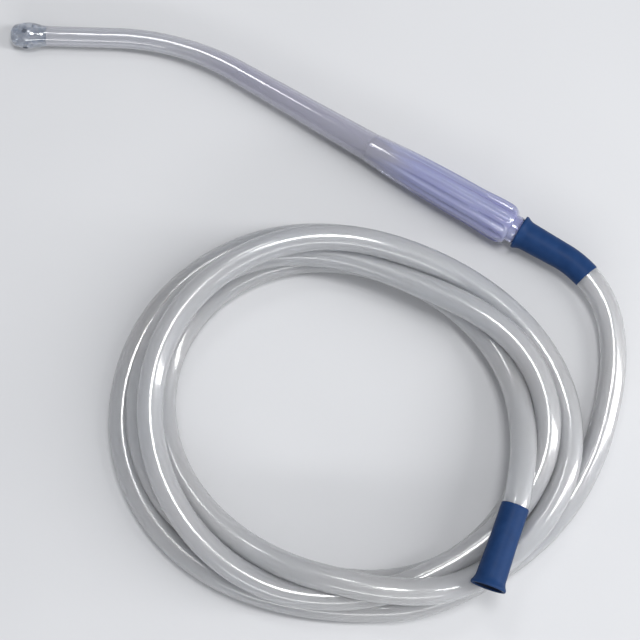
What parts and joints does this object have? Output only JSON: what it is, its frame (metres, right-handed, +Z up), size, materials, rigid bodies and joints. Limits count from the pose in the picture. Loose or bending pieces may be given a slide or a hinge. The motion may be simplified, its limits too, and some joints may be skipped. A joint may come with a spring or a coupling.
{
  "type": "suction handle with connecting tube",
  "caption": "Rigid clear suction handle with a bulb tip and fluted grip, plugged into a coiled flexible tube with a soft flared connector at each end.",
  "frame": {"origin": "on the plane the handle lies on, under the middle of the box round the handle (tip cap, stem and grip)", "axes": "+X along the grip, from the tip towards the connecting tube; +Z up from the plane; the tip bends towards -Y"},
  "size_m": [0.3012, 0.1916, 0.0348],
  "materials": {
    "clear_rigid": "clear moulded styrene, glossy",
    "tinted_rigid": "clear moulded styrene with a blue-violet tint, glossy",
    "clear_soft": "flexible clear vinyl, slightly milky, glossy",
    "blue_soft": "flexible dark blue vinyl, satin"
  },
  "bodies": {
    "hose_set": {"front_connector": "blue_soft", "hose_lead": "clear_soft", "hose_coil": "clear_soft", "hose_tail": "clear_soft", "rear_connector": "blue_soft"},
    "handle": {"tip_cap": "clear_rigid", "stem": "clear_rigid", "grip": "tinted_rigid"}
  },
  "joints": [
    {"name": "handle_pull", "type": "slide", "parent": "hose_set", "child": "handle", "axis": [-0.9999, 0, -0.0148], "range_m": [0, 0.022]}
  ]
}
